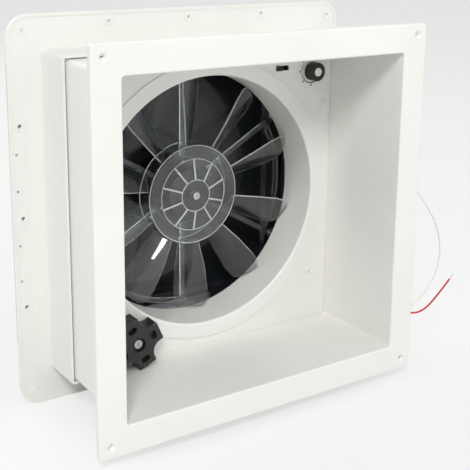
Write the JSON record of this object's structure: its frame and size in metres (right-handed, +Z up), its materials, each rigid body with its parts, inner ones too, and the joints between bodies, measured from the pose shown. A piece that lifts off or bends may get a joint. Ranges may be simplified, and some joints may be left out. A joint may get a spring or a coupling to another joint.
{
  "type": "rv roof vent fan",
  "caption": "Square roof vent with a clear-bladed axial fan, crank-opened smoked lid, ceiling trim and two bare supply leads.",
  "frame": {"origin": "centre of the roof flange's screw pattern, on the flange face that lies on the roof", "axes": "+Z up as the fan stands on its edge, +X right seen from the room, +Y out through the roof to the sky"},
  "size_m": [0.5032, 0.2285, 0.434],
  "materials": {
    "white_shell": "moulded satin plastic",
    "white_small": "glossy",
    "smoke_lid": "smoked glossy plastic",
    "clear_plastic": "clear moulded plastic",
    "black_plastic": "fine satin",
    "nylon": "natural nylon",
    "seal_foam": "matte foam",
    "rubber": "matte",
    "zinc_steel": "zinc plated",
    "aluminium": "mill finish",
    "motor_steel": "dark plated",
    "bronze": "sintered bronze",
    "white_wire": "pvc insulation",
    "red_wire": "pvc insulation",
    "tinned_wire": "tinned strands"
  },
  "bodies": {
    "frame": {"base_frame": "white_shell", "base_plate": "white_shell", "throat_ring": "white_shell", "trim_frame": "white_shell", "plate_screws": "white_small", "curb_seal": "seal_foam", "hinge_brackets": "zinc_steel", "hinge_pins": "zinc_steel", "hinge_screws": "zinc_steel", "gear_case": "black_plastic", "gear_cover": "black_plastic", "crank_bush": "bronze", "motor_can": "motor_steel", "motor_front_cap": "motor_steel", "motor_rear_cap": "motor_steel", "motor_magnets": "motor_steel", "motor_bushings": "bronze", "motor_bracket": "clear_plastic", "bracket_screws": "zinc_steel", "motor_screws": "zinc_steel", "speed_control": "black_plastic", "control_nut": "zinc_steel", "switch_body": "black_plastic", "lead_grommet": "rubber", "white_lead": "white_wire", "white_lead_tip": "tinned_wire", "red_lead": "red_wire", "red_lead_tip": "tinned_wire"},
    "lid": {"lid_dome": "smoke_lid", "hinge_leaves": "zinc_steel", "leaf_rivets": "zinc_steel", "lid_track": "aluminium"},
    "lift": {"lift_arm": "zinc_steel", "shoe_pin": "zinc_steel", "worm_wheel": "nylon", "arm_axle": "zinc_steel"},
    "shoe": {"track_shoe": "nylon"},
    "crank": {"crank_shaft": "zinc_steel", "crank_knob": "black_plastic", "crank_knob_screw": "zinc_steel"},
    "fan": {"fan_hub": "clear_plastic", "fan_blades": "clear_plastic", "fan_screw": "zinc_steel", "motor_shaft": "zinc_steel", "motor_armature": "motor_steel"},
    "dial": {"speed_dial": "black_plastic", "speed_dial_cap": "white_small", "dial_shaft": "zinc_steel"},
    "switch": {"switch_key": "black_plastic"}
  },
  "joints": [
    {"name": "lid_hinge", "type": "hinge", "parent": "frame", "child": "lid", "pos_m": [-0.209, 0.0095, 0], "axis": [0, 0, 1], "range_deg": [0, 65]},
    {"name": "arm_pivot", "type": "hinge", "parent": "frame", "child": "lift", "pos_m": [-0.08025, 0.0095, -0.141], "axis": [0, 0, 1], "range_deg": [0, 130]},
    {"name": "shoe_pivot", "type": "hinge", "parent": "lift", "child": "shoe", "pos_m": [0.0485, 0.0095, -0.165], "axis": [0, 0, 1], "range_deg": [-65, 0]},
    {"name": "crank_turn", "type": "hinge", "parent": "frame", "child": "crank", "pos_m": [-0.106, 0, -0.141], "axis": [0, 1, 0], "range_deg": [0, 3900]},
    {"name": "fan_spin", "type": "hinge", "parent": "frame", "child": "fan", "pos_m": [0, 0, 0], "axis": [0, 1, 0], "continuous": true},
    {"name": "dial_turn", "type": "hinge", "parent": "frame", "child": "dial", "pos_m": [0.141, -0.055, 0.14], "axis": [0, 1, 0], "range_deg": [0, 270]},
    {"name": "switch_slide", "type": "slide", "parent": "frame", "child": "switch", "axis": [1, 0, 0], "range_m": [0, 0.011]}
  ],
  "couplings": [
    {"joint": "arm_pivot", "follows": "lid_hinge", "ratio": 2},
    {"joint": "shoe_pivot", "follows": "lid_hinge", "ratio": -1},
    {"joint": "crank_turn", "follows": "lid_hinge", "ratio": 60}
  ]
}
